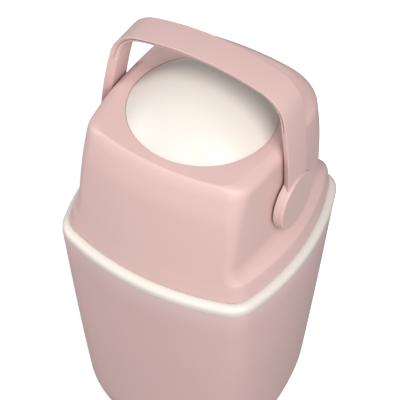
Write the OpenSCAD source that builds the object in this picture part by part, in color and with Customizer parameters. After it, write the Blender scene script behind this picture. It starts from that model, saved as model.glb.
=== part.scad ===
// Flip-handle nappy bin: a tapered bin, a cream collar that holds the bag, and a hinged lid
// with a ball-shaped drum inside. The carrying handle is fixed to the drum, so swinging the
// handle to the front or the back turns the drum's bore up to the opening, and a loose piston
// pushes the nappy down into the bag. Millimetres, +Z up, the front faces -Y, and the origin
// is the centre of the footprint on the floor.

/* [Bin] */
// Height of the lid's seat above the floor
seat_z = 345; // [300:5:380]
// Half width of the lid's rim, along X
rim_half_x = 130; // [125:1:140]
// Half depth of the lid's rim, along Y
rim_half_y = 124.8; // [120:0.2:135]
// Radius of the gently bowed front edge of the rim
front_bow_r = 304; // [280:2:400]
// Radius of the flatter back edge of the rim
back_bow_r = 636; // [500:2:800]
// Radius of the gently bowed left and right edges of the rim
side_bow_r = 299; // [280:1:400]
// Radius of the rim's front corners
rim_corner_r = 27; // [24:1:32]
// How much tighter the back corners are
back_corner_less = 9.7; // [0:0.1:12]
// Wall of the moulded bin
bin_wall = 2.6; // [2:0.1:3]
// Lean of the bin's walls, millimetres in per millimetre down
bin_taper = 0.066; // [0.05:0.002:0.08]

/* [Collar] */
// Height of the cream band between the lid and the bin
band_h = 11; // [9:1:13]
// How far the band stands out past the lid's rim
band_out = 8.7; // [8:0.1:10]

/* [Lid] */
// Wall of the moulded lid
lid_wall = 2.5; // [2:0.1:2.6]
// Height of the round opening above the lid's seat
opening_h = 155.5; // [154:0.5:158]
// Radius of the round opening
opening_r = 83; // [82:0.5:84]
// Height of the handle's axis above the lid's seat
pivot_h = 80.4; // [80:0.1:81]

/* [Drum] */
// Radius of the ball-shaped drum
ball_r = 111.4; // [110:0.1:111.4]
// Half length of the drum between its flat ends, along X
drum_half_x = 97.5; // [95:0.5:97.5]
// Inner radius of the bore that the nappy goes into
bore_r = 59.5; // [55:0.5:60]
// Length of the piston
piston_len = 44; // [40:1:60]

/* [Handle] */
// Height of the handle's top above its axis
arch_h = 162.2; // [161:0.1:168]
// Half width of the handle at its axis
arch_half_x = 120.5; // [120.5:0.1:122]
// Width of the handle's strap
strap_w = 40.4; // [36:0.2:44]
// Thickness of the strap's outer skin
strap_skin = 5.2; // [4:0.2:6]
// Full thickness of the strap, with the grip on its inner side
strap_t = 9; // [8:0.2:9.6]
// Lean of the handle and the drum towards the back at rest, degrees
flip_lean = 2.4; // [0:0.1:3]
// Radius of the round hub at each end of the handle
hub_r = 35; // [33:1:36]
// Distance of the hub's outer face from the middle of the bin
hub_face_x = 122.5; // [122.5:0.5:124]

/* [Hinge] */
// Radius of the hinge pin
pin_r = 2; // [1.5:0.1:2.2]
// Radius of the hinge knuckles
knuckle_r = 4; // [3.8:0.1:4]

/* [Hidden] */
$fn = 96;

pink = [0.87, 0.70, 0.68];
cream = [0.95, 0.92, 0.87];
grey = [0.55, 0.55, 0.56];
steel = [0.75, 0.76, 0.78];

// Running clearance of a shaft in its bush, and the gap kept between parts that only pass
fit_gap = 0.05;
free_gap = 0.4;
pivot_z = seat_z + pivot_h;

// Segments on half a bowed edge and on a corner, for the lofted shells
bow_steps = 5;
corner_steps = 5;

// One quarter of a rounded square, from the middle of the front edge to the middle of the
// right edge: two bowed edges of radius rf and rs joined by a corner of radius rc
function corner_centre(ax, by, rf, rs, rc) =
    let (o1 = [0, rf - by], o2 = [ax - rs, 0],
         r1 = rf - rc, r2 = rs - rc,
         d = norm(o2 - o1), e = (o2 - o1) / d,
         t = (r1 * r1 - r2 * r2 + d * d) / (2 * d),
         h = sqrt(r1 * r1 - t * t))
    o1 + t * e + h * [-e[1], e[0]];

function arc_points(c, r, a0, a1, n) =
    [for (i = [0:n]) c + r * [cos(a0 + (a1 - a0) * i / n), sin(a0 + (a1 - a0) * i / n)]];

function tail(list) = [for (i = [1:len(list) - 1]) list[i]];

function quarter(ax, by, rf, rs, rc, bows, corners) =
    let (o1 = [0, rf - by], o2 = [ax - rs, 0], f = corner_centre(ax, by, rf, rs, rc),
         a1 = atan2(f[1] - o1[1], f[0] - o1[0]), a2 = atan2(f[1] - o2[1], f[0] - o2[0]))
    concat(arc_points(o1, rf, -90, a1, bows),
           tail(arc_points(f, rc, a1, a2, corners)),
           tail(arc_points(o2, rs, a2, 0, bows)));

// The whole rounded square from its front and back quarters, counter-clockwise from the
// middle of the front edge
function rounded_square(f, b) =
    let (n = len(f) - 1)
    concat([for (i = [0:n - 1]) f[i]],
           [for (i = [n:-1:1]) [b[i][0], -b[i][1]]],
           [for (i = [0:n - 1]) [-b[i][0], -b[i][1]]],
           [for (i = [n:-1:1]) [-f[i][0], f[i][1]]]);

// The rim's outline moved out by d, with its own corner radius
function rim_outline(d, rc, bows = bow_steps, corners = corner_steps) =
    rounded_square(quarter(rim_half_x + d, rim_half_y + d, front_bow_r + d, side_bow_r + d,
                           rc, bows, corners),
                   quarter(rim_half_x + d, rim_half_y + d, back_bow_r + d, side_bow_r + d,
                           max(rc - back_corner_less, 2), bows, corners));

function at_height(points, z) = [for (p = points) [p[0], p[1], z]];

// A solid skinned over closed rings of points, each ring joined to the next. Looped rings
// close on themselves; others are capped at both ends.
module skin(rings, looped = false) {
    n = len(rings[0]);
    m = len(rings);
    sides = [
        for (k = [0:m - (looped ? 1 : 2)]) for (i = [0:n - 1])
            let (j = (i + 1) % n, l = (k + 1) % m)
            each [[k * n + i, l * n + i, l * n + j], [k * n + i, l * n + j, k * n + j]]
    ];
    caps = looped ? [] : [
        [for (i = [0:n - 1]) i],
        [for (i = [n - 1:-1:0]) (m - 1) * n + i]
    ];
    polyhedron(points = [for (r = rings) each r], faces = concat(sides, caps));
}

module along_x() {
    rotate([0, 90, 0]) children();
}

module along_y() {
    rotate([-90, 0, 0]) children();
}

// Everything that flips is drawn upright about the handle's axis and then leaned back
module flipped() {
    translate([0, 0, pivot_z]) rotate([-flip_lean, 0, 0]) children();
}

module at_pivot() {
    translate([0, 0, pivot_z]) children();
}

module mirrored_x(side) {
    if (side > 0) children();
    else mirror([1, 0, 0]) children();
}

// BIN

// The bin's wall at a height: taper, a soft turn-in near the floor and rounder corners lower down
bin_top_z = seat_z - band_h;
bin_top_out = 8.2;
bin_top_corner = 28.6;
bin_corner_growth = 0.195;
turn_in_z = 78;
turn_in_r = 113;
foot_r = 6;
bin_floor_t = 4;

function turn_in(z) = z >= turn_in_z ? 0 : pow(turn_in_z - max(z, foot_r), 2) / (2 * turn_in_r);
function foot_in(z) = z >= foot_r ? 0 : foot_r - sqrt(foot_r * foot_r - pow(foot_r - z, 2));
function bin_out(z) = bin_top_out - bin_taper * (bin_top_z - z) - turn_in(z) - foot_in(z);
function bin_corner(z) = bin_top_corner + bin_corner_growth * (bin_top_z - z) - turn_in(z) / 2;
function bin_ring(z, d) = at_height(rim_outline(bin_out(z) - d, bin_corner(z) - d), z);

pad_r = 8;
pad_t = 1.5;
pad_x = 62;
pad_y = 58;
recess_r = 44;

module pad_places() {
    for (sx = [-1, 1], sy = [-1, 1]) translate([sx * pad_x, sy * pad_y, 0]) children();
}

module bin_body() {
    outer_z = [0, 2, foot_r, 16, 28, 42, 58, turn_in_z, 150, 240, bin_top_z];
    inner_z = [bin_top_z, 240, 150, turn_in_z, 58, 42, 28, 16, bin_floor_t + 3, bin_floor_t];
    inner_in = bin_wall;
    color(pink) difference() {
        skin(concat([for (z = outer_z) bin_ring(z, 0)],
                    [for (z = inner_z) at_height(rim_outline(bin_out(max(z, foot_r)) - inner_in,
                                                             bin_corner(z) - inner_in), z)]));
        translate([0, 0, -1]) cylinder(r = recess_r, h = pad_t + 1);
        pad_places() translate([0, 0, -1]) cylinder(r = pad_r, h = pad_t + 1);
    }
}

module base_pads() {
    color(grey) pad_places() cylinder(r = pad_r, h = pad_t);
}

// COLLAR AND BAG RING

ledge_in = 11;
ledge_t = 3.5;
skirt_h = 20;
skirt_t = 2.4;
skirt_top_out = 5.2;

// The band's rounded face, as steps of a quarter ellipse from its lower edge up to the seam
band_face_h = 6.8;
band_face_steps = 5;

function band_face(n) = [
    for (i = [n:-1:0]) [band_out * sin(90 * i / n), -band_face_h * (1 - cos(90 * i / n)),
                        rim_corner_r + band_out * sin(90 * i / n)]
];

hinge_y = rim_half_y + knuckle_r + 0.5;
hinge_z = seat_z + 5;
knuckle_w = 13;
knuckle_gap = 0.5;
pin_half = 2.5 * knuckle_w + 2 * knuckle_gap;

module knuckle(middle, w, bore) {
    translate([middle - w / 2, hinge_y, hinge_z]) along_x() difference() {
        cylinder(r = knuckle_r, h = w);
        translate([0, 0, -1]) cylinder(r = bore, h = w + 2);
    }
}

module knuckle_foot(middle, w, y0, y1, z0) {
    difference() {
        translate([middle - w / 2, y0, z0]) cube([w, y1 - y0, hinge_z - z0]);
        translate([middle - w / 2 - 1, hinge_y, hinge_z]) along_x() cylinder(r = knuckle_r - 0.6, h = w + 2);
    }
}

module rim_collar() {
    skirt_foot_out = skirt_top_out - bin_taper * skirt_h - 0.3;
    skirt_corner = bin_top_corner - bin_wall - free_gap;
    profile = concat([
        [-ledge_in, 0, rim_corner_r - ledge_in],
        [-ledge_in, -ledge_t, rim_corner_r - ledge_in],
        [skirt_top_out - skirt_t, -ledge_t, skirt_corner - skirt_t],
        [skirt_foot_out - skirt_t, -band_h - skirt_h, skirt_corner],
        [skirt_foot_out, -band_h - skirt_h, skirt_corner + skirt_t],
        [skirt_top_out, -band_h, skirt_corner],
        [band_out, -band_h, rim_corner_r + band_out]
    ], band_face(band_face_steps));
    pitch = 2 * (knuckle_w + knuckle_gap);
    color(cream) union() {
        skin([for (p = profile) at_height(rim_outline(p[0], p[2]), seat_z + p[1])], looped = true);
        for (i = [-1:1]) {
            knuckle(i * pitch, knuckle_w, pin_r);
            knuckle_foot(i * pitch, knuckle_w, hinge_y - 2.4, hinge_y + knuckle_r - 0.4, seat_z - 6);
        }
    }
}

module ring_plate(out, in, z0, z1, corner = 0) {
    bows = 10;
    corners = 8;
    translate([0, 0, z0]) linear_extrude(height = z1 - z0) difference() {
        polygon(rim_outline(out, rim_corner_r + out + corner, bows, corners));
        polygon(rim_outline(in, max(rim_corner_r + in + corner, 4), bows, corners));
    }
}

bag_ring_h = 22;
bag_ring_t = 2.4;
bag_flange_t = 1.2;

module bag_ring() {
    wall_out = -ledge_in - free_gap;
    wall_in = wall_out - bag_ring_t;
    color(cream) union() {
        ring_plate(wall_out, wall_in, seat_z - bag_ring_h, seat_z + bag_flange_t);
        ring_plate(wall_out + 2.2, wall_in, seat_z, seat_z + bag_flange_t);
    }
}

module hinge_pin() {
    color(steel) translate([-pin_half, hinge_y, hinge_z]) along_x() cylinder(r = pin_r, h = 2 * pin_half);
}

// A sprung tongue at the front of the collar. Its nose stands over a rib inside the lid's front.
clip_w = 24;
clip_out = -7;
clip_t = 2;
clip_h = 9;
clip_nose = 0.7;
clip_rib_gap = 0.3;

module catch_clip() {
    color(cream) translate([-clip_w / 2, -(rim_half_y + clip_out), seat_z])
        rotate([90, 0, 90]) linear_extrude(height = clip_w)
            polygon([[0, 0], [clip_t, 0], [clip_t, clip_h], [0.8, clip_h],
                     [-clip_nose, clip_h - 1.2], [-clip_nose, clip_h - 2], [0, clip_h - 2.7]]);
}

// LID

lid_gap = 0.3;
plate_t = 2.5;
lid_top = opening_h;
trunnion_hole_r = 12.5;

// Bow radii of the front edge, the front and the back half of the side edges, and the back edge
rim_bows = [front_bow_r - 2, side_bow_r - 3, side_bow_r - 3, back_bow_r - 2];
valley_bows = [306, 455, 640, 300];
side_bows = [306, 470, 680, 306];
shoulder_bows = [306, 470, 800, 345];
edge_bows = [306, 225, 350, 345];

// Bow radii part of the way from the rim to the valley, and from the shoulder to the top's edge
function sweep_bows(t) = rim_bows + (valley_bows - rim_bows) * t;
function crest_bows(t) = shoulder_bows + (edge_bows - shoulder_bows) * t;

// The lid's outer face, row by row: height above the seat, half width, depth to the front and
// to the back, corner radius at the front and the back, and bow radii. The rows are the upright
// rim, its crest, the hollow sweep that runs in to the sides, the recessed sides, the shoulder
// and the edge of the top.
lid_rows = [
    [lid_gap, rim_half_x, rim_half_y, rim_half_y, 27, 17.3, rim_bows],
    [22, 126.9, 122.2, 122.2, 25, 15.5, rim_bows],
    [24.7, 125.8, 121.8, 121.6, 24, 15, rim_bows],
    [26, 123.6, 121.6, 121.2, 23, 16.5, sweep_bows(0.1)],
    [28, 120.2, 121.4, 120.4, 21.5, 20.5, sweep_bows(0.3)],
    [31, 116.7, 121, 119.5, 19.8, 26, sweep_bows(0.55)],
    [35.5, 113.3, 120.5, 118.6, 18.3, 31.5, sweep_bows(0.8)],
    [40.5, 111.2, 119.9, 118.1, 17.3, 35, sweep_bows(0.95)],
    [45, 110.1, 119.4, 118, 17, 36, valley_bows],
    [54.6, 109.7, 118.2, 118.1, 17, 36, side_bows],
    [80.6, 108.8, 115.1, 118.2, 17, 36, side_bows],
    [113, 107.3, 110.8, 118.4, 22, 46, shoulder_bows],
    [122, 106.9, 108.9, 118.4, 24.5, 50, shoulder_bows],
    [130, 106.6, 106.8, 118.5, 26.5, 54, shoulder_bows],
    [138, 106.2, 104.5, 118.5, 28, 57, shoulder_bows],
    [142, 106, 103.3, 118.5, 28.5, 58.5, shoulder_bows],
    [145, 105.6, 102.2, 118.3, 29, 59.5, shoulder_bows],
    [148, 104.6, 100.9, 117.3, 29, 60.5, crest_bows(0.08)],
    [150.5, 103, 99.6, 115.8, 28.5, 61, crest_bows(0.28)],
    [152.5, 100.9, 98.4, 113.9, 27, 61.5, crest_bows(0.57)],
    [154, 98.4, 97.2, 111.6, 24.5, 62, crest_bows(0.8)],
    [lid_top, 95.2, 95.6, 107.8, 21, 63, edge_bows]
];

function lid_ring(row, inset, z) =
    let (bow = row[6],
         f = quarter(row[1] - inset, row[2] - inset, bow[0] - inset, bow[1] - inset,
                     row[4] - inset, bow_steps, corner_steps),
         b = quarter(row[1] - inset, row[3] - inset, bow[3] - inset, bow[2] - inset,
                     row[5] - inset, bow_steps, corner_steps))
    at_height(rounded_square(f, b), seat_z + z);

lid_inner_top = lid_top - plate_t;

screw_x = 110;
screw_y = 70;
boss_r = 5;
boss_top = 18;
plate_z = 2;
cradle_t = 3;
cradle_screw_r = 1.5;
cradle_head_r = 3.2;

module cradle_screw_places() {
    for (sx = [-1, 1], sy = [-1, 1]) translate([sx * screw_x, sy * screw_y, seat_z]) children();
}

module drum_solid(r, half_x) {
    intersection() {
        sphere(r = r);
        cube([2 * half_x, 3 * r, 3 * r], center = true);
    }
}

module lid_shell() {
    inner = [for (row = lid_rows) if (row[0] < lid_inner_top - 1) row];
    inner_rings = [for (i = [len(inner) - 1:-1:0]) lid_ring(inner[i], lid_wall, inner[i][0])];
    boss_z = plate_z + cradle_t;
    pitch = knuckle_w + knuckle_gap;
    color(pink) difference() {
        union() {
            difference() {
                skin(concat([lid_ring(inner[len(inner) - 1], lid_wall + 1.6, lid_inner_top)],
                            inner_rings,
                            [for (row = lid_rows) lid_ring(row, 0, row[0])]));
                at_pivot() drum_solid(ball_r + free_gap + 0.1, drum_half_x + 0.5);
                at_pivot() along_x() cylinder(r = trunnion_hole_r, h = 3 * rim_half_x, center = true);
            }
            cradle_screw_places() translate([0, 0, boss_z]) cylinder(r = boss_r, h = boss_top - boss_z);
            for (sx = [-1, 1], sy = [-1, 1])
                translate([sx * (screw_x + 3.8) - 3.8, sy * screw_y - 1.2, seat_z + boss_z])
                    cube([7.6, 2.4, boss_top - boss_z]);
            translate([-clip_w / 2, -rim_half_y + 2.2, seat_z + 3.2])
                cube([clip_w, -clip_out - clip_nose - clip_rib_gap - 2.2, 2.4]);
            for (side = [-1, 1]) {
                knuckle(side * pitch, knuckle_w, pin_r + fit_gap);
                knuckle_foot(side * pitch, knuckle_w, rim_half_y - 2, hinge_y, seat_z + 1);
            }
        }
        cradle_screw_places() translate([0, 0, boss_z - 1]) cylinder(r = cradle_screw_r, h = 11.5);
    }
}

// CRADLE, SCREWS AND SEALS

bracket_x0 = 99.5;
bracket_x1 = 104.5;
bracket_r = 24;
bracket_foot = 38;
bush_r = 14;
shaft_r = 11;
skirt_r = 84;
skirt_len = 20;
plate_top = plate_z + cradle_t;

module bracket_face() {
    difference() {
        union() {
            translate([0, pivot_h]) circle(r = bracket_r);
            polygon([[-bracket_foot, plate_z + 0.5], [bracket_foot, plate_z + 0.5],
                     [bracket_r * 0.98, pivot_h + 4], [-bracket_r * 0.98, pivot_h + 4]]);
        }
        translate([0, pivot_h]) circle(r = bush_r);
    }
}

module bracket_gusset() {
    rotate([90, 0, 0]) linear_extrude(height = 2.4, center = true)
        polygon([[bracket_x1 - 1, plate_top - 1], [116, plate_top - 1], [116, plate_top + 3],
                 [bracket_x1, plate_top + 20], [bracket_x1 - 1, plate_top + 20]]);
}

module drum_cradle() {
    color(cream) translate([0, 0, seat_z]) difference() {
        union() {
            translate([0, 0, plate_z]) linear_extrude(height = cradle_t)
                polygon(rim_outline(-6, rim_corner_r - 6, 10, 8));
            translate([0, 0, plate_z - skirt_len]) cylinder(r = skirt_r + 2, h = skirt_len + 1);
            for (side = [-1, 1]) mirrored_x(side) {
                translate([bracket_x0, 0, 0]) rotate([90, 0, 90])
                    linear_extrude(height = bracket_x1 - bracket_x0) bracket_face();
                for (sy = [-1, 1]) translate([0, sy * 31, 0]) bracket_gusset();
            }
        }
        translate([0, 0, plate_z - skirt_len - 1]) cylinder(r = skirt_r, h = skirt_len + cradle_t + 2);
        translate([-clip_w / 2 - 2, -rim_half_y, 0]) cube([clip_w + 4, 10.5, plate_top + 1]);
        for (sx = [-1, 1], sy = [-1, 1]) translate([sx * screw_x, sy * screw_y, 0]) {
            translate([0, 0, -1]) cylinder(r = cradle_head_r, h = plate_z + 2.8);
            cylinder(r = cradle_screw_r, h = plate_top + 1);
        }
    }
}

module cradle_screws() {
    color(steel) cradle_screw_places() {
        translate([0, 0, plate_z + 0.1]) cylinder(r = cradle_head_r, h = 1.7);
        translate([0, 0, plate_z + 1.7]) cylinder(r = cradle_screw_r, h = 11.5);
    }
}

module rim_gasket() {
    color(grey) ring_plate(-3.4, -6, seat_z + 0.1, seat_z + 3);
}

seal_r = 92;

module ball_seal(z0, z1) {
    difference() {
        translate([0, 0, seat_z + z0]) cylinder(r = seal_r, h = z1 - z0);
        at_pivot() sphere(r = ball_r + free_gap);
    }
}

module opening_seal() {
    color(grey) ball_seal(lid_inner_top - 3.5, lid_inner_top);
}

module chute_seal() {
    color(grey) ball_seal(plate_top, plate_top + 4);
}

module bush(side) {
    color(grey) at_pivot() mirrored_x(side) along_x() difference() {
        union() {
            translate([0, 0, bracket_x0 - 1.5]) cylinder(r = bush_r + 2, h = 1.5);
            translate([0, 0, bracket_x0]) cylinder(r = bush_r, h = bracket_x1 - bracket_x0 + 0.5);
        }
        translate([0, 0, bracket_x0 - 3]) cylinder(r = shaft_r + fit_gap, h = 12);
    }
}

module bush_left() { bush(-1); }
module bush_right() { bush(1); }

// DRUM

drum_wall = 2.8;
liner_t = 2.5;
liner_r = bore_r + liner_t;
ring_t = 3;
ring_r = liner_r + 5;
lip_r = bore_r - 2.5;
plate_x = drum_half_x - drum_wall;
flange_t = 3;
flange_r = 24;
square_x0 = 109.9;
square_w = 14;
hub_x0 = 110.4;
hub_x1 = 117.5;
drum_screw_x = 78;
drum_screw_y = 62;
drum_screw_r = 1.6;
drum_head_r = 3.3;
drum_head_z = -18;
drum_post_r = 5.5;
drum_post_h = 36;
spigot_r = 3.4;
spigot_h = 5;

module drum_screw_places() {
    for (sx = [-1, 1], sy = [-1, 1]) translate([sx * drum_screw_x, sy * drum_screw_y, 0]) children();
}

// The drum's wall in section, from its axis outwards: a ball with flat ends, open for the shafts
module drum_section() {
    difference() {
        intersection() {
            circle(r = ball_r);
            translate([shaft_r, -drum_half_x]) square([ball_r, 2 * drum_half_x]);
        }
        intersection() {
            circle(r = ball_r - drum_wall);
            translate([0, -plate_x]) square([ball_r, 2 * plate_x]);
        }
    }
}

// Locating spigots on the posts at one end of the bore, standing up or down from the seam
module spigots(end, way) {
    for (sx = [-1, 1]) translate([sx * drum_screw_x, end * drum_screw_y, way > 0 ? 0 : -spigot_h])
        cylinder(r = spigot_r, h = spigot_h);
}

// One half of the drum: the wall, the mouths of the bore and the screw posts. The dome's
// spigots are at the back and point down, and the base's are at the front and point up.
module drum_half(up) {
    difference() {
        union() {
            difference() {
                along_x() rotate([0, 0, up ? 90 : -90]) rotate_extrude(angle = 180) drum_section();
                along_y() cylinder(r = ring_r, h = 3 * ball_r, center = true);
            }
            drum_screw_places() translate([0, 0, up ? 0 : -drum_post_h]) cylinder(r = drum_post_r, h = drum_post_h);
            spigots(up ? 1 : -1, up ? -1 : 1);
        }
        spigots(up ? -1 : 1, up ? 1 : -1);
        drum_screw_places() {
            cylinder(r = drum_screw_r, h = 24, center = true);
            if (!up) translate([0, 0, drum_head_z - 60]) cylinder(r = drum_head_r, h = 60);
            if (!up) translate([0, 0, drum_head_z - 1]) cylinder(r = drum_screw_r, h = 20);
        }
    }
}

module drum_dome() { color(cream) flipped() drum_half(true); }
module drum_base() { color(cream) flipped() drum_half(false); }

module drum_screws() {
    color(steel) flipped() drum_screw_places() {
        translate([0, 0, drum_head_z - 2.4]) cylinder(r = drum_head_r, h = 2.4);
        translate([0, 0, drum_head_z]) cylinder(r = drum_screw_r, h = 12 - drum_head_z);
    }
}

module bore_liner() {
    half = sqrt(pow(ball_r - ring_t, 2) - pow(liner_r, 2));
    color(cream) flipped() along_y() difference() {
        cylinder(r = liner_r, h = 2 * half, center = true);
        cylinder(r = bore_r, h = 3 * half, center = true);
    }
}

// The ring around the bore's mouth follows the ball. Its lip stops the piston.
module bore_ring(side) {
    color(cream) flipped() mirror([0, side < 0 ? 1 : 0, 0]) along_y() difference() {
        intersection() {
            sphere(r = ball_r);
            cylinder(r = ring_r, h = 2 * ball_r);
        }
        sphere(r = ball_r - ring_t);
        cylinder(r = lip_r, h = 2 * ball_r);
    }
}

module bore_ring_front() { bore_ring(-1); }
module bore_ring_back() { bore_ring(1); }

hub_screw_r = 2.5;
hub_screw_x0 = 100;
hub_head_r = 6;
hub_head_h = 2.7;
flange_screw_at = 12.5;
flange_screw_r = 1.5;

module trunnion(side) {
    color(grey) flipped() mirrored_x(side) along_x() difference() {
        union() {
            translate([0, 0, plate_x - flange_t]) cylinder(r = flange_r, h = flange_t);
            translate([0, 0, plate_x - 1]) cylinder(r = shaft_r, h = square_x0 - plate_x + 1);
            translate([-square_w / 2, -square_w / 2, square_x0 - 1]) cube([square_w, square_w, hub_x1 - square_x0 + 1]);
        }
        translate([0, 0, hub_screw_x0]) cylinder(r = hub_screw_r, h = 20);
        flange_screw_places() translate([0, 0, plate_x - 10]) cylinder(r = flange_screw_r, h = 20);
    }
}

module flange_screw_places() {
    for (sx = [-1, 1], sy = [-1, 1]) translate([sx * flange_screw_at, sy * flange_screw_at, 0]) children();
}

module trunnion_left() { trunnion(-1); }
module trunnion_right() { trunnion(1); }

module trunnion_screws() {
    color(steel) flipped() for (side = [-1, 1]) mirrored_x(side) along_x() flange_screw_places() {
        translate([0, 0, plate_x - flange_t - 1.6]) cylinder(r = 2 * flange_screw_r, h = 1.6);
        translate([0, 0, plate_x - flange_t]) cylinder(r = flange_screw_r, h = flange_t);
    }
}

// HANDLE

arch_top_r = 309;
arch_side_r = 573;
arch_corner_r = 43;
arch_bows = 10;
arch_corners = 12;
strap_land = 1;
strap_inner_w = 30;
cap_r = hub_r;
cap_groove_r0 = 29;
cap_groove_r1 = 31;
cap_groove_t = 2.5;
cap_chamfer = 1.2;

// Half of the arch's face moved in by t, from the middle of its top down to the axis
function arch_half(t) = [
    for (p = quarter(arch_half_x - t, arch_h - t, arch_top_r - t, arch_side_r - t, arch_corner_r - t,
                     arch_bows, arch_corners)) [p[0], -p[1]]
];

// The whole arch, from the axis on the right over the top to the axis on the left
function arch(t) =
    let (half = arch_half(t), n = len(half) - 1)
    concat([for (i = [n:-1:1]) half[i]], [for (i = [0:n]) [-half[i][0], half[i][1]]]);

// The strap's half width at a depth t under its face. Its edges slant in from a narrow land.
function strap_half(t) =
    (strap_w - (strap_w - strap_inner_w) * max(0, t - strap_land) / (strap_t - strap_land)) / 2;

// A layer of the strap between two depths, along points first to last of the arch
module strap_layer(depths, first, last) {
    lines = [for (t = depths) arch(t)];
    n = len(depths) - 1;
    skin([for (i = [first:last]) concat(
        [for (k = [0:n]) [lines[k][i][0], strap_half(depths[k]), lines[k][i][1]]],
        [for (k = [n:-1:0]) [lines[k][i][0], -strap_half(depths[k]), lines[k][i][1]]]
    )]);
}

module handle_side() {
    strap_layer([strap_skin - 0.2, strap_t], 0, arch_bows);
    along_x() translate([0, 0, hub_x0]) cylinder(r = hub_r, h = hub_x1 - hub_x0 + 0.5);
}

module handle() {
    last = 2 * (2 * arch_bows + arch_corners);
    color(pink) flipped() difference() {
        union() {
            strap_layer([0, strap_land, strap_skin], 0, last);
            handle_side();
            mirror([1, 0, 0]) handle_side();
        }
        for (side = [-1, 1]) mirrored_x(side) along_x() {
            translate([0, 0, hub_x1]) cylinder(r = cap_r + 0.2, h = 20);
            translate([0, 0, hub_x1 - cap_groove_t]) difference() {
                cylinder(r = cap_groove_r1, h = 20);
                translate([0, 0, -1]) cylinder(r = cap_groove_r0, h = 22);
            }
            translate([-square_w / 2, -square_w / 2, 90]) cube([square_w, square_w, 60]);
        }
    }
}

// The grip closes the strap's inner side over the top and both corners
module handle_grip() {
    last = 2 * (2 * arch_bows + arch_corners);
    color(pink) flipped() strap_layer([strap_skin, strap_t], arch_bows, last - arch_bows);
}

module hub_cap(side) {
    t = hub_face_x - hub_x1;
    color(pink) flipped() mirrored_x(side) along_x() translate([0, 0, hub_x1]) union() {
        difference() {
            rotate_extrude() polygon([[0, 0], [cap_r, 0], [cap_r, t - cap_chamfer], [cap_r - cap_chamfer, t], [0, t]]);
            translate([0, 0, -1]) cylinder(r = hub_head_r + 1, h = hub_head_h + 1.4);
        }
        translate([0, 0, -cap_groove_t]) difference() {
            cylinder(r = cap_groove_r1, h = cap_groove_t + 0.5);
            translate([0, 0, -1]) cylinder(r = cap_groove_r0, h = cap_groove_t + 2);
        }
    }
}

module hub_cap_left() { hub_cap(-1); }
module hub_cap_right() { hub_cap(1); }

module hub_screws() {
    color(steel) flipped() for (side = [-1, 1]) mirrored_x(side) along_x() {
        translate([0, 0, hub_x1]) cylinder(r = hub_head_r, h = hub_head_h);
        translate([0, 0, hub_screw_x0]) cylinder(r = hub_screw_r, h = hub_x1 - hub_screw_x0);
    }
}

// PISTON

piston_r = bore_r - 0.8;
piston_wall = 3;
seal_groove = 2;
seal_w = 4;
seal_at = 15;
seal_out_r = bore_r - 0.3;

module piston() {
    half = piston_len / 2;
    color(grey) flipped() along_y() difference() {
        translate([0, 0, -half]) cylinder(r = piston_r, h = piston_len - piston_wall);
        translate([0, 0, -half + piston_wall]) cylinder(r = piston_r - 6, h = piston_len);
        for (side = [-1, 1]) translate([0, 0, side * seal_at - seal_w / 2]) difference() {
            cylinder(r = piston_r + 1, h = seal_w);
            translate([0, 0, -1]) cylinder(r = piston_r - seal_groove, h = seal_w + 2);
        }
    }
}

module piston_cover() {
    color(grey) flipped() along_y() translate([0, 0, piston_len / 2 - piston_wall])
        cylinder(r = piston_r, h = piston_wall);
}

module piston_seals() {
    color(steel) flipped() along_y() for (side = [-1, 1])
        translate([0, 0, side * seal_at - seal_w / 2]) difference() {
            cylinder(r = seal_out_r, h = seal_w);
            translate([0, 0, -1]) cylinder(r = piston_r - seal_groove, h = seal_w + 2);
        }
}

bin_body();
base_pads();
rim_collar();
bag_ring();
hinge_pin();
catch_clip();
lid_shell();
drum_cradle();
cradle_screws();
rim_gasket();
opening_seal();
chute_seal();
bush_left();
bush_right();
drum_dome();
drum_base();
drum_screws();
bore_liner();
bore_ring_front();
bore_ring_back();
trunnion_left();
trunnion_right();
trunnion_screws();
handle();
handle_grip();
hub_cap_left();
hub_cap_right();
hub_screws();
piston();
piston_cover();
piston_seals();
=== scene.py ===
# A flip-handle nappy bin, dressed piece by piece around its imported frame. Sizes are in
# millimetres and angles in degrees; MM turns millimetres into Blender's metres.
import math
import bmesh
import bpy
from mathutils import Matrix, Vector


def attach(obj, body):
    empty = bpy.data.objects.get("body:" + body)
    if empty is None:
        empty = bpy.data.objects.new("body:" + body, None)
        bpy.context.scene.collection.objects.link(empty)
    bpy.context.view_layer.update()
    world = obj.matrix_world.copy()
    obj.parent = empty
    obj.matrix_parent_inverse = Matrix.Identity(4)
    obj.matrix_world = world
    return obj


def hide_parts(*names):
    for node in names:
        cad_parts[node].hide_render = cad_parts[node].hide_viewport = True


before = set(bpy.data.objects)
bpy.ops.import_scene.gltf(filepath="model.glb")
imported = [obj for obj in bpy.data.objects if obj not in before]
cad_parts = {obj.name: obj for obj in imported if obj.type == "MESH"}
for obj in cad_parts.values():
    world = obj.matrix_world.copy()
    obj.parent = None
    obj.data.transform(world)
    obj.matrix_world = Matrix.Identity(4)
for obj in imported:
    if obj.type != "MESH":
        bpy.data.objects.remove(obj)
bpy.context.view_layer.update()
MM = 0.001

# CAMERA
# A long lens above the front right of the bin. It looks down at the lid, so the foot of
# the bin is out of the picture. Distances are in half widths of the lid's rim.
RIM_HALF_X = 130
SEAT_Z = 345
CAMERA_AZIMUTH = 29.595
CAMERA_ELEVATION = 48.019
CAMERA_ROLL = 1.689
CAMERA_DISTANCE = 16.569 * RIM_HALF_X
CAMERA_AIM_RIGHT = 0.0004 * RIM_HALF_X
CAMERA_AIM_UP = 0.0494 * RIM_HALF_X
CAMERA_LENS = 169.94


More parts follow.
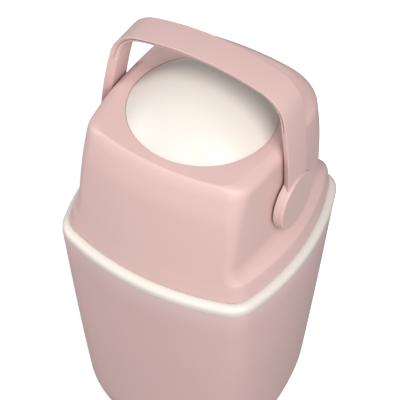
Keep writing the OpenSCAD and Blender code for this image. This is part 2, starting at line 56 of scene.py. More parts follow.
def place_camera():
    azimuth, elevation, roll = (math.radians(a) for a in (CAMERA_AZIMUTH, CAMERA_ELEVATION, CAMERA_ROLL))
    forward = Vector((-math.sin(azimuth) * math.cos(elevation),
                      math.cos(azimuth) * math.cos(elevation), -math.sin(elevation)))
    level_right = Vector((math.cos(azimuth), math.sin(azimuth), 0))
    level_up = level_right.cross(forward)
    right = level_right * math.cos(roll) + level_up * math.sin(roll)
    up = level_up * math.cos(roll) - level_right * math.sin(roll)
    aim = Vector((0, 0, SEAT_Z)) + level_right * CAMERA_AIM_RIGHT + level_up * CAMERA_AIM_UP
    place = (aim - forward * CAMERA_DISTANCE) * MM
    data = bpy.data.cameras.new("camera")
    data.sensor_width = 36
    data.lens = CAMERA_LENS
    data.clip_end = 20
    camera = bpy.data.objects.new("camera", data)
    turn = Matrix((right, up, -forward)).transposed().to_4x4()
    camera.matrix_world = Matrix.Translation(place) @ turn
    bpy.context.scene.collection.objects.link(camera)
    bpy.context.scene.camera = camera


place_camera()

# STUDIO
# A pale plain floor that glows, a dim even surround, a soft box at the left, a high key at
# the right, a large box above the front and a low one at the front right. The floor lights
# and mirrors in nothing, as if the bin stood well in front of a lit backdrop.
FLOOR_HALF = 6.0
FLOOR_GLOW = 0.3
SURROUND_STRENGTH = 0.37
LIGHTS = (
    # name, place in metres, size in metres, power in watts
    ("side_light", (-2.214, -0.806, 1.449), 1.2, 30),
    ("key_light", (1.55, -1.02, 2.18), 1.2, 48),
    ("front_light", (0.0, -1.671, 2.342), 2.4, 24.5),
    ("low_light", (1.75, -1.9, 0.61), 1.6, 17),
)


def plain_material(name, colour, roughness):
    material = bpy.data.materials.new(name)
    material.use_nodes = True
    shader = material.node_tree.nodes["Principled BSDF"]
    shader.inputs["Base Color"].default_value = (*colour, 1)
    shader.inputs["Roughness"].default_value = roughness
    return material


def build_studio():
    mesh = bpy.data.meshes.new("floor")
    corners = [(x * FLOOR_HALF, y * FLOOR_HALF, 0) for x, y in ((-1, -1), (1, -1), (1, 1), (-1, 1))]
    mesh.from_pydata(corners, [], [(0, 1, 2, 3)])
    paper = plain_material("floor_paper", (0.97, 0.97, 0.97), 0.9)
    paper.node_tree.nodes["Principled BSDF"].inputs["Emission Color"].default_value = (1, 1, 1, 1)
    paper.node_tree.nodes["Principled BSDF"].inputs["Emission Strength"].default_value = FLOOR_GLOW
    mesh.materials.append(paper)
    floor = bpy.data.objects.new("floor", mesh)
    floor.visible_diffuse = False
    floor.visible_glossy = False
    bpy.context.scene.collection.objects.link(floor)
    world = bpy.data.worlds.new("surround")
    world.use_nodes = True
    world.node_tree.nodes["Background"].inputs["Color"].default_value = (1, 1, 1, 1)
    world.node_tree.nodes["Background"].inputs["Strength"].default_value = SURROUND_STRENGTH
    bpy.context.scene.world = world
    for name, place, size, power in LIGHTS:
        data = bpy.data.lights.new(name, "AREA")
        data.size = size
        data.energy = power
        light = bpy.data.objects.new(name, data)
        aim = Vector((0, 0, SEAT_Z * MM)) - Vector(place)
        light.matrix_world = Matrix.Translation(place) @ aim.to_track_quat("-Z", "Y").to_matrix().to_4x4()
        bpy.context.scene.collection.objects.link(light)
    bpy.context.scene.view_settings.view_transform = "Standard"


build_studio()

# BIN BODY
# The tapered bin: one deep injection moulding in pink satin plastic, a rounded square in
# plan with gently bowed sides, turned in softly near the floor.
RIM_HALF_Y = 124.8
FRONT_BOW_R = 304
BACK_BOW_R = 636
SIDE_BOW_R = 299
RIM_CORNER_R = 27
BACK_CORNER_LESS = 9.7
BAND_H = 11
BIN_TOP_Z = SEAT_Z - BAND_H
BIN_TOP_OUT = 8.2
BIN_TOP_CORNER = 28.6
BIN_TAPER = 0.066
BIN_CORNER_GROWTH = 0.195
BIN_WALL = 2.6
BIN_FLOOR_T = 4
TURN_IN_Z = 78
TURN_IN_R = 113
FOOT_R = 6
PAD_R = 8
PAD_T = 1.5
PAD_X = 62
PAD_Y = 58
FOOT_RECESS_R = 44
BOW_STEPS = 14
CORNER_STEPS = 16
FOOT_STEP = 15
CURVE_STEPS = 12
WALL_STEPS = 8
FLOOR_FILLET = 1
CUT_PAST = 1
FOOT_RECESS_STEPS = 96
PINK = (0.60, 0.413, 0.395)
SPECULAR = 0.42
CLOUD_SCALE = 9
GLOSS_SPREAD = 0.03
GRAIN_SCALE = 1500
GRAIN_DEPTH = 0.15
# Painted highlight: how sharp an edge must be before it is painted lighter, and by how much.
EDGE_HIGHLIGHT_FROM = 0.52
EDGE_HIGHLIGHT_TO = 0.62
EDGE_HIGHLIGHT_SHARE = 0.5
EDGE_HIGHLIGHT_LIGHTER = 0.3


def satin_plastic(name, colour, roughness=0.42, grain=0.05, tint=0.03):
    """Moulded plastic: a fine spark-eroded grain, faint flow clouds in the colour and the
    gloss, and a painted highlight: its convex edges are painted a little lighter."""
    material = bpy.data.materials.new(name)
    material.use_nodes = True
    nodes, links = material.node_tree.nodes, material.node_tree.links
    shader = nodes["Principled BSDF"]
    shader.inputs["Specular IOR Level"].default_value = SPECULAR
    where = nodes.new("ShaderNodeTexCoord").outputs["Object"]

    def noise(scale, detail):
        node = nodes.new("ShaderNodeTexNoise")
        node.inputs["Scale"].default_value = scale
        node.inputs["Detail"].default_value = detail
        links.new(where, node.inputs["Vector"])
        return node.outputs["Fac"]

    def ramp(value, low, high, out_low, out_high):
        node = nodes.new("ShaderNodeMapRange")
        ends = {"From Min": low, "From Max": high, "To Min": out_low, "To Max": out_high}
        for socket, number in ends.items():
            node.inputs[socket].default_value = number
        links.new(value, node.inputs["Value"])
        return node.outputs["Result"]

    def blend_colour(factor, first, second):
        node = nodes.new("ShaderNodeMix")
        node.data_type = "RGBA"
        node.inputs[6].default_value = (*first, 1)
        node.inputs[7].default_value = (*second, 1)
        links.new(factor, node.inputs[0])
        return node.outputs[2]

    clouds = noise(CLOUD_SCALE, 3)
    darker = tuple(c * (1 - tint) for c in colour)
    lighter = tuple(min(1, c * (1 + tint)) for c in colour)
    moulded = blend_colour(clouds, darker, lighter)
    # Painted highlight: convex edges, found by their pointiness, are painted lighter to stand for the light
    # caught along them.
    painted_edge_highlight = nodes.new("ShaderNodeMix")
    painted_edge_highlight.data_type = "RGBA"
    painted_edge_highlight.inputs[7].default_value = (*(c + (1 - c) * EDGE_HIGHLIGHT_LIGHTER for c in colour), 1)
    pointiness = nodes.new("ShaderNodeNewGeometry").outputs["Pointiness"]
    edges = ramp(pointiness, EDGE_HIGHLIGHT_FROM, EDGE_HIGHLIGHT_TO, 0, EDGE_HIGHLIGHT_SHARE)
    links.new(edges, painted_edge_highlight.inputs[0])
    links.new(moulded, painted_edge_highlight.inputs[6])
    links.new(painted_edge_highlight.outputs[2], shader.inputs["Base Color"])
    gloss = ramp(clouds, 0.3, 0.7, roughness - GLOSS_SPREAD, roughness + GLOSS_SPREAD)
    links.new(gloss, shader.inputs["Roughness"])
    bump = nodes.new("ShaderNodeBump")
    bump.inputs["Strength"].default_value = grain
    bump.inputs["Distance"].default_value = GRAIN_DEPTH * MM
    links.new(noise(GRAIN_SCALE, 2), bump.inputs["Height"])
    links.new(bump.outputs["Normal"], shader.inputs["Normal"])
    return material


pink_plastic = satin_plastic("pink_plastic", PINK)


def arc(centre, radius, first, last, steps):
    turns = [first + (last - first) * i / steps for i in range(steps + 1)]
    return [centre + Vector((math.cos(a), math.sin(a))) * radius for a in turns]


def quarter(half_x, half_y, front_r, side_r, corner_r, bows=BOW_STEPS, corners=CORNER_STEPS):
    """A quarter of a rounded square, from the middle of its front to the middle of its
    right side: two bowed edges with a rounder corner between them."""
    front_centre = Vector((0, front_r - half_y))
    side_centre = Vector((half_x - side_r, 0))
    to_front, to_side = front_r - corner_r, side_r - corner_r
    apart = side_centre - front_centre
    along = (to_front ** 2 - to_side ** 2 + apart.length ** 2) / (2 * apart.length)
    across = math.sqrt(to_front ** 2 - along ** 2)
    unit = apart.normalized()
    corner = front_centre + unit * along + Vector((-unit.y, unit.x)) * across
    first = math.atan2(*(corner - front_centre).yx)
    last = math.atan2(*(corner - side_centre).yx)
    return (arc(front_centre, front_r, -math.pi / 2, first, bows)
            + arc(corner, corner_r, first, last, corners)[1:]
            + arc(side_centre, side_r, last, 0, bows)[1:])


def rounded_square(front, back, z):
    """A ring from its front and back quarters, counter-clockwise from the front's middle."""
    return ([(p.x, p.y, z) for p in front[:-1]] + [(p.x, -p.y, z) for p in back[:0:-1]]
            + [(-p.x, -p.y, z) for p in back[:-1]] + [(-p.x, p.y, z) for p in front[:0:-1]])


def rim_ring(out, corner_r, z):
    """The rim's outline moved out by a distance, at a height above the floor."""
    half_x, half_y, side_r = RIM_HALF_X + out, RIM_HALF_Y + out, SIDE_BOW_R + out
    front = quarter(half_x, half_y, FRONT_BOW_R + out, side_r, corner_r)
    back = quarter(half_x, half_y, BACK_BOW_R + out, side_r, max(corner_r - BACK_CORNER_LESS, 2))
    return rounded_square(front, back, z)


def skin(rings, looped=False):
    """Vertices and faces of a skin over rings of points. A looped skin closes on itself,
    and any other is capped at both ends."""
    count, total = len(rings[0]), len(rings)
    vertices = [tuple(c * MM for c in p) for ring in rings for p in ring]
    faces = []
    for k in range(total if looped else total - 1):
        low, high = k * count, (k + 1) % total * count
        for i in range(count):
            j = (i + 1) % count
            faces.append((low + i, low + j, high + j, high + i))
    if not looped:
        faces.append(tuple(range(count - 1, -1, -1)))
        faces.append(tuple((total - 1) * count + i for i in range(count)))
    return vertices, faces


def add_piece(name, parts, material, sharp=32):
    """One object from several closed skins, smooth except at its sharp edges."""
    vertices, faces = [], []
    for part_vertices, part_faces in parts:
        start = len(vertices)
        vertices += part_vertices
        faces += [tuple(start + i for i in face) for face in part_faces]
    mesh = bpy.data.meshes.new(name)
    mesh.from_pydata(vertices, [], faces)
    mesh.materials.append(material)
    smooth(mesh, sharp)
    piece = bpy.data.objects.new(name, mesh)
    bpy.context.scene.collection.objects.link(piece)
    return piece


def smooth(mesh, sharp):
    mesh.shade_smooth()
    mesh.set_sharp_from_angle(angle=math.radians(sharp))


def cylinder(radius, low, high, steps=48, turn=Matrix.Identity(4)):
    """A plain round cutter or boss along Z, turned into place."""
    turns = [math.tau * i / steps for i in range(steps)]
    rings = [[tuple(turn @ Vector((radius * math.cos(a), radius * math.sin(a), z))) for a in turns]
             for z in (low, high)]
    return skin(rings)


def cut(piece, cutters, sharp=32):
    """Takes the cutters' shapes out of a piece."""
    tool = add_piece("cutter", cutters, piece.data.materials[0])
    modifier = piece.modifiers.new("cut", "BOOLEAN")
    modifier.object = tool
    modifier.solver = "EXACT"
    shaped = bpy.data.meshes.new_from_object(piece.evaluated_get(bpy.context.evaluated_depsgraph_get()))
    piece.modifiers.clear()
    piece.data = shaped
    bpy.data.objects.remove(tool)
    smooth(shaped, sharp)


def finish_piece(piece, body, slot, *nodes):
    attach(piece, body)
    if nodes:
        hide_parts(*nodes)


def bin_out(z):
    turn_in = max(0, TURN_IN_Z - max(z, FOOT_R)) ** 2 / (2 * TURN_IN_R)
    foot_in = FOOT_R - math.sqrt(FOOT_R ** 2 - max(0, FOOT_R - z) ** 2)
    return BIN_TOP_OUT - BIN_TAPER * (BIN_TOP_Z - z) - turn_in - foot_in


def bin_corner(z):
    turn_in = max(0, TURN_IN_Z - z) ** 2 / (2 * TURN_IN_R)
    return BIN_TOP_CORNER + BIN_CORNER_GROWTH * (BIN_TOP_Z - z) - turn_in / 2


def build_bin():
    foot = [FOOT_R * (1 - math.cos(math.radians(a))) for a in range(0, 91, FOOT_STEP)]
    curve = [FOOT_R + (TURN_IN_Z - FOOT_R) * i / CURVE_STEPS for i in range(1, CURVE_STEPS + 1)]
    wall = [TURN_IN_Z + (BIN_TOP_Z - TURN_IN_Z) * i / WALL_STEPS for i in range(1, WALL_STEPS + 1)]
    outer = foot + curve + wall
    inner = [z for z in reversed(outer) if z > BIN_FLOOR_T + 2 * FLOOR_FILLET]
    inner += [BIN_FLOOR_T + FLOOR_FILLET, BIN_FLOOR_T]
    rings = [rim_ring(bin_out(z), bin_corner(z), z) for z in outer]
    rings += [rim_ring(bin_out(max(z, FOOT_R)) - BIN_WALL, bin_corner(z) - BIN_WALL, z) for z in inner]
    body = add_piece("bin_moulding", [skin(rings)], pink_plastic)
    pads = [cylinder(PAD_R, -CUT_PAST, PAD_T, turn=Matrix.Translation((x, y, 0)))
            for x in (-PAD_X, PAD_X) for y in (-PAD_Y, PAD_Y)]
    cut(body, pads + [cylinder(FOOT_RECESS_R, -CUT_PAST, PAD_T, FOOT_RECESS_STEPS)])
    finish_piece(body, "bin", "pink_plastic", "bin_body")


build_bin()

# BASE PADS
# Four grey rubber discs pressed into the foot, so that the bin doesn't slide.
RUBBER_GREY = (0.10, 0.10, 0.105)
WELD_GAP = 0.002
rubber = satin_plastic("soft_rubber", RUBBER_GREY, 0.7, 0.12)


def weld(mesh):
    """Joins points that coincide, and drops the faces that this leaves without area."""
    work = bmesh.new()
    work.from_mesh(mesh)
    bmesh.ops.remove_doubles(work, verts=work.verts, dist=WELD_GAP * MM)
    bmesh.ops.dissolve_degenerate(work, edges=work.edges, dist=WELD_GAP * MM)
    work.to_mesh(mesh)
    work.free()


def dress(node, material, sharp=30):
    """A smooth-shaded copy of a CAD node whose shape is right, in its finish."""
    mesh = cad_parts[node].data.copy()
    weld(mesh)
    mesh.materials.clear()
    mesh.materials.append(material)
    for face in mesh.polygons:
        face.material_index = 0
    smooth(mesh, sharp)
    piece = bpy.data.objects.new(node + "_piece", mesh)
    bpy.context.scene.collection.objects.link(piece)
    modifier = piece.modifiers.new("flat_faces_stay_flat", "WEIGHTED_NORMAL")
    modifier.keep_sharp = True
    piece.data = bpy.data.meshes.new_from_object(piece.evaluated_get(bpy.context.evaluated_depsgraph_get()))
    piece.modifiers.clear()
    return piece


finish_piece(dress("base_pads", rubber), "bin", "rubber", "base_pads")

# RIM COLLAR
# The cream band between the bin and the lid: a moulded ring with a rounded face, a ledge
# that the lid closes on, a skirt that plugs into the bin, and three hinge knuckles.
CREAM = (0.645, 0.597, 0.546)
BAND_OUT = 8.7
BAND_FACE_H = 6.8
LEDGE_IN = 11
LEDGE_T = 3.5
SKIRT_H = 20
SKIRT_T = 2.4
SKIRT_TOP_OUT = 5.2
SKIRT_DRAFT = 0.3
BAND_STEP = 6
FREE_GAP = 0.4
KNUCKLE_R = 4
KNUCKLE_W = 13
KNUCKLE_GAP = 0.5
KNUCKLE_STEPS = 40
KNUCKLE_CHAMFER = 0.3
PIN_R = 2
HINGE_Y = RIM_HALF_Y + KNUCKLE_R + 0.5
HINGE_Z = SEAT_Z + 5
BIN_KNUCKLE_FOOT_Y = (HINGE_Y - 2.4, HINGE_Y + KNUCKLE_R - 0.4)
BIN_KNUCKLE_FOOT_Z = (SEAT_Z - 6, HINGE_Z - PIN_R - 0.3)
cream_plastic = satin_plastic("cream_plastic", CREAM, 0.4, 0.04, 0.015)


def soften(points, cuts, steps=5, looped=False, measured=2):
    """Rounds the corners of a line of points. Each corner gives way to a curve that starts
    its cut length before it, at most half way to the next point. The first numbers of a
    point are measured, and the others follow along."""
    line = [Vector(p) for p in points]
    total = len(line)
    result = []
    for i, point in enumerate(line):
        if not looped and i in (0, total - 1) or not cuts[i]:
            result.append(point)
            continue
        back, ahead = line[i - 1] - point, line[(i + 1) % total] - point
        start = point + back * min(0.5, cuts[i] / math.hypot(*back[:measured]))
        end = point + ahead * min(0.5, cuts[i] / math.hypot(*ahead[:measured]))
        for k in range(steps + 1):
            t = k / steps
            result.append(start * (1 - t) ** 2 + point * 2 * t * (1 - t) + end * t ** 2)
    return result


def knuckle_parts(middles, foot_y, foot_z, bore):
    """Hinge knuckles on the pin's line, each with the foot that joins it to its wall."""
    parts = []
    turns = [math.tau * i / KNUCKLE_STEPS for i in range(KNUCKLE_STEPS)]
    inset = KNUCKLE_CHAMFER
    plan = [(y, foot_z[0]) for y in foot_y] + [(y, foot_z[1]) for y in reversed(foot_y)]
    for middle in middles:
        low, high = middle - KNUCKLE_W / 2, middle + KNUCKLE_W / 2
        section = ((bore, low), (bore, high), (KNUCKLE_R - inset, high), (KNUCKLE_R, high - inset),
                   (KNUCKLE_R, low + inset), (KNUCKLE_R - inset, low))
        parts.append(skin([[(x, HINGE_Y + r * math.cos(a), HINGE_Z + r * math.sin(a)) for a in turns]
                           for r, x in section], looped=True))
        parts.append(skin([[(x, y, z) for y, z in plan] for x in (low + inset, high - inset)]))
    return parts


def build_collar():
    skirt_foot = SKIRT_TOP_OUT - BIN_TAPER * SKIRT_H - SKIRT_DRAFT
    skirt_corner = BIN_TOP_CORNER - BIN_WALL - FREE_GAP
    face = [(BAND_OUT * math.sin(math.radians(a)), -BAND_FACE_H * (1 - math.cos(math.radians(a))))
            for a in range(90, -1, -BAND_STEP)]
    # out from the rim, height above the seat, corner radius, rounding
    section = [
        (-LEDGE_IN, 0, RIM_CORNER_R - LEDGE_IN, 0.6),
        (-LEDGE_IN, -LEDGE_T, RIM_CORNER_R - LEDGE_IN, 0.4),
        (SKIRT_TOP_OUT - SKIRT_T, -LEDGE_T, skirt_corner - SKIRT_T, 0.5),
        (skirt_foot - SKIRT_T, -BAND_H - SKIRT_H, skirt_corner, 0.5),
        (skirt_foot, -BAND_H - SKIRT_H, skirt_corner + SKIRT_T, 0.5),
        (SKIRT_TOP_OUT, -BAND_H, skirt_corner, 0),
        (BAND_OUT, -BAND_H, RIM_CORNER_R + BAND_OUT, 0.8),
    ]
    section += [(out, z, RIM_CORNER_R + out, 0) for out, z in face]
    line = soften([s[:3] for s in section], [s[3] for s in section], looped=True)
    ring = skin([rim_ring(p[0], p[2], SEAT_Z + p[1]) for p in line], looped=True)
    pitch = 2 * (KNUCKLE_W + KNUCKLE_GAP)
    knuckles = knuckle_parts([-pitch, 0, pitch], BIN_KNUCKLE_FOOT_Y, BIN_KNUCKLE_FOOT_Z, PIN_R)
    collar = add_piece("collar", [ring] + knuckles, cream_plastic)
    finish_piece(collar, "bin", "cream_plastic", "rim_collar")


build_collar()

# BAG RING, HINGE PIN AND CATCH
# The ring hangs in the collar and holds the bag's mouth. The pin is drawn steel, and the
# catch is a sprung tongue moulded with the collar.
ZINC_GREY = (0.62, 0.63, 0.65)
DRAWN_SCALE = 400
DRAWN_DEPTH = 0.05
DRAWN_GLOSS = (0.25, 0.42)
zinc = plain_material("zinc_steel", ZINC_GREY, 0.32)
zinc.node_tree.nodes["Principled BSDF"].inputs["Metallic"].default_value = 1


def brush(material, stretch):
    """Fine drawing lines along one axis, in the gloss and the surface."""
    nodes, links = material.node_tree.nodes, material.node_tree.links
    shader = nodes["Principled BSDF"]
    mapping = nodes.new("ShaderNodeMapping")
    mapping.inputs["Scale"].default_value = stretch
    lines = nodes.new("ShaderNodeTexNoise")
    lines.inputs["Scale"].default_value = DRAWN_SCALE
    lines.inputs["Detail"].default_value = 3
    gloss = nodes.new("ShaderNodeMapRange")
    gloss.inputs["To Min"].default_value = DRAWN_GLOSS[0]
    gloss.inputs["To Max"].default_value = DRAWN_GLOSS[1]
    bump = nodes.new("ShaderNodeBump")
    bump.inputs["Strength"].default_value = 0.08
    bump.inputs["Distance"].default_value = DRAWN_DEPTH * MM
    links.new(nodes.new("ShaderNodeTexCoord").outputs["Object"], mapping.inputs["Vector"])
    links.new(mapping.outputs["Vector"], lines.inputs["Vector"])
    links.new(lines.outputs["Fac"], gloss.inputs["Value"])
    links.new(gloss.outputs["Result"], shader.inputs["Roughness"])
    links.new(lines.outputs["Fac"], bump.inputs["Height"])
    links.new(bump.outputs["Normal"], shader.inputs["Normal"])


brush(zinc, (0.05, 1, 1))
finish_piece(dress("bag_ring", cream_plastic), "bin", "cream_plastic", "bag_ring")
finish_piece(dress("hinge_pin", zinc), "bin", "steel", "hinge_pin")
finish_piece(dress("catch_clip", cream_plastic), "bin", "cream_plastic", "catch_clip")

# LID SHELL
# The pink lid: an upright rim under a rounded crest, a shelf that runs in to the recessed
# sides where the handle's arms lie, a soft shoulder and a flat top with the round opening.
# It stands on the collar on a narrow foot, which leaves a fine shadow line all round.
LID_WALL = 2.5
OPENING_H = 155.5
OPENING_R = 83.4
PIVOT_H = 80.4
PIVOT_Z = SEAT_Z + PIVOT_H
TRUNNION_HOLE_R = 12.5
LID_GAP = 0.3
RIM_BOWS = (FRONT_BOW_R - 2, SIDE_BOW_R - 3, SIDE_BOW_R - 3, BACK_BOW_R - 2)
VALLEY_BOWS = (306, 455, 640, 300)
SIDE_BOWS = (306, 470, 680, 306)
SHOULDER_BOWS = (306, 470, 800, 345)
EDGE_BOWS = (306, 225, 350, 345)


def blend_bows(first, second, t):
    return tuple(a + (b - a) * t for a, b in zip(first, second))


LID_ROWS = (
    # height above the seat, half width, depth to the front and to the back, corner radius
    # at the front and the back, bow radii of the front, the side's halves and the back,
    # and the rounding over the row
    (LID_GAP, 128, 122.8, 122.8, 25, 15.3, RIM_BOWS, 0),
    (LID_GAP + 1.3, 128, 122.8, 122.8, 25, 15.3, RIM_BOWS, 0),
    (LID_GAP + 1.5, 130, 124.8, 124.8, 27, 17.3, RIM_BOWS, 0.3),
    (22, 126.9, 122.2, 122.2, 25, 15.5, RIM_BOWS, 3),
    (24.7, 125.8, 121.8, 121.6, 24, 15, RIM_BOWS, 1.2),
    (26, 123.6, 121.6, 121.2, 23, 16.5, blend_bows(RIM_BOWS, VALLEY_BOWS, 0.1), 20),
    (28, 120.2, 121.4, 120.4, 21.5, 20.5, blend_bows(RIM_BOWS, VALLEY_BOWS, 0.3), 20),
    (31, 116.7, 121, 119.5, 19.8, 26, blend_bows(RIM_BOWS, VALLEY_BOWS, 0.55), 20),
    (35.5, 113.3, 120.5, 118.6, 18.3, 31.5, blend_bows(RIM_BOWS, VALLEY_BOWS, 0.8), 20),
    (40.5, 111.2, 119.9, 118.1, 17.3, 35, blend_bows(RIM_BOWS, VALLEY_BOWS, 0.95), 20),
    (45, 110.1, 119.4, 118, 17, 36, VALLEY_BOWS, 20),
    (54.6, 109.7, 118.2, 118.1, 17, 36, SIDE_BOWS, 20),
    (80.6, 108.8, 115.1, 118.2, 17, 36, SIDE_BOWS, 20),
    (113, 107.3, 110.8, 118.4, 22, 46, SHOULDER_BOWS, 20),
    (122, 106.9, 108.9, 118.4, 24.5, 50, SHOULDER_BOWS, 20),
    (130, 106.6, 106.8, 118.5, 26.5, 54, SHOULDER_BOWS, 20),
    (138, 106.2, 104.5, 118.5, 28, 57, SHOULDER_BOWS, 20),
    (142, 106, 103.3, 118.5, 28.5, 58.5, SHOULDER_BOWS, 20),
    (145, 105.6, 102.2, 118.3, 29, 59.5, SHOULDER_BOWS, 20),
    (148, 104.6, 100.9, 117.3, 29, 60.5, blend_bows(SHOULDER_BOWS, EDGE_BOWS, 0.08), 20),
    (150.5, 103, 99.6, 115.8, 28.5, 61, blend_bows(SHOULDER_BOWS, EDGE_BOWS, 0.28), 20),
    (152.5, 100.9, 98.4, 113.9, 27, 61.5, blend_bows(SHOULDER_BOWS, EDGE_BOWS, 0.57), 20),
    (154, 98.4, 97.2, 111.6, 24.5, 62, blend_bows(SHOULDER_BOWS, EDGE_BOWS, 0.8), 20),
    (OPENING_H, 95.2, 95.6, 107.8, 21, 63, EDGE_BOWS, 1.2),
    (OPENING_H, 92.6, 93, 105.2, 18.4, 60.4, EDGE_BOWS, 0),
)
PLATE_T = 2.5
LIP_R = 0.8
LIP_TURNS = (22.5, 45, 67.5, 90)
LIP_FLARE = 2
CEILING_IN = 1.5
HOLE_REACH = 150
HOLE_STEPS = 64
PIN_PLAY = 0.05
LID_KNUCKLE_FOOT_Y = (RIM_HALF_Y - 2, HINGE_Y - PIN_R - 0.3)
LID_KNUCKLE_FOOT_Z = (SEAT_Z + 1, HINGE_Z + KNUCKLE_R - 0.2)


def lid_ring(row, inset=0):
    z, half_x, front_y, back_y, front_corner, back_corner, *bows = row
    front_r, side_front_r, side_back_r, back_r = (r - inset for r in bows)
    front = quarter(half_x - inset, front_y - inset, front_r, side_front_r, front_corner - inset)
    back = quarter(half_x - inset, back_y - inset, back_r, side_back_r, back_corner - inset)
    return rounded_square(front, back, SEAT_Z + z)


def circle_like(ring, radius, z):
    """A circle whose points stand on the same bearings as a ring's."""
    return [(radius * p[0] / math.hypot(p[0], p[1]), radius * p[1] / math.hypot(p[0], p[1]), z) for p in ring]


def between(first, second, t):
    """The ring at a share of the way from one ring to another."""
    return [tuple(a + (b - a) * t for a, b in zip(p, q)) for p, q in zip(first, second)]


def build_lid():
    rows = soften([(*row[:6], *row[6]) for row in LID_ROWS], [row[7] for row in LID_ROWS])
    outer = [lid_ring(row) for row in rows]
    top = outer[-1]
    top_z, under_z = SEAT_Z + OPENING_H, SEAT_Z + OPENING_H - PLATE_T
    brink = circle_like(top, OPENING_R + LIP_R, top_z)
    plate = [between(top, brink, 0.5), brink]
    lip = [circle_like(top, OPENING_R + LIP_R * (1 - math.sin(math.radians(a))),
                       top_z - LIP_R * (1 - math.cos(math.radians(a)))) for a in LIP_TURNS]
    under = circle_like(top, OPENING_R + LIP_FLARE, under_z)
    inner_rows = [row for row in rows if row[0] < OPENING_H - PLATE_T - 1]
    inner = [lid_ring(row, LID_WALL) for row in reversed(inner_rows)]
    ceiling = [(x, y, under_z) for x, y, _ in lid_ring(inner_rows[-1], LID_WALL + CEILING_IN)]
    shell = skin(outer + plate + lip + [under, ceiling] + inner, looped=True)
    lid = add_piece("lid_moulding", [shell], pink_plastic)
    along_x = Matrix.Translation((0, 0, PIVOT_Z)) @ Matrix.Rotation(math.pi / 2, 4, "Y")
    cut(lid, [cylinder(TRUNNION_HOLE_R, -HOLE_REACH, HOLE_REACH, HOLE_STEPS, along_x)])
    pitch = KNUCKLE_W + KNUCKLE_GAP
    knuckles = knuckle_parts([-pitch, pitch], LID_KNUCKLE_FOOT_Y, LID_KNUCKLE_FOOT_Z, PIN_R + PIN_PLAY)
    hinge = add_piece("lid_knuckles", knuckles, pink_plastic)
    finish_piece(lid, "lid", "pink_plastic", "lid_shell")
    finish_piece(hinge, "lid", "pink_plastic")


build_lid()

# CRADLE, SEALS AND BUSHES
# The cream cradle is screwed up into the lid and carries the drum in two grey bushes. Its
# round skirt is the chute into the bag, and rubber rings seal the drum above and below.
GREY = (0.27, 0.27, 0.28)
grey_plastic = satin_plastic("grey_plastic", GREY, 0.45, 0.05)
finish_piece(dress("drum_cradle", cream_plastic), "lid", "cream_plastic", "drum_cradle")
for seal in ("rim_gasket", "opening_seal", "chute_seal"):
    finish_piece(dress(seal, rubber), "lid", "rubber", seal)
for bush in ("bush_left", "bush_right"):
    finish_piece(dress(bush, grey_plastic), "lid", "grey_plastic", bush)

# SCREWS
# Zinc-plated pan-head screws with a cross recess. They hold the cradle in the lid, the
# drum's halves together, and the trunnions and hubs on the drum's axis.
FLIP_LEAN = 2.4
flip_turn = Matrix.Translation((0, 0, PIVOT_Z)) @ Matrix.Rotation(math.radians(-FLIP_LEAN), 4, "X")
FACE_DOWN = Matrix.Rotation(math.pi, 4, "X")
SCREW_SIZES = ("Head Radius", "Head Height", "Shaft Radius", "Length")
CRADLE_SCREW = (3.2, 1.7, 1.5, 11.5)
DRUM_SCREW = (3.3, 2.4, 1.6, 30)
TRUNNION_SCREW = (3, 1.6, 1.5, 3)
HUB_SCREW = (6, 2.7, 2.5, 17.5)
CRADLE_SCREW_X = 110
CRADLE_SCREW_Y = 70
CRADLE_SCREW_H = 2.1
DRUM_SCREW_PLACE = (78, 62, -20.4)
TRUNNION_SCREW_X = 90.1
TRUNNION_SCREW_OFF = 12.5
HUB_SCREW_X = 120.2
HEAD_SIDES = 32
SHAFT_SIDES = 20
RECESS_LONG = 1.1
RECESS_WIDE = 0.26
RECESS_RISE = 0.4
SHAFT_START = 0.9


def feed(tree, socket, value):
    """Gives a node's input a value, or a link from another node."""
    if isinstance(value, bpy.types.NodeSocket):
        tree.links.new(value, socket)
    else:
        socket.default_value = value


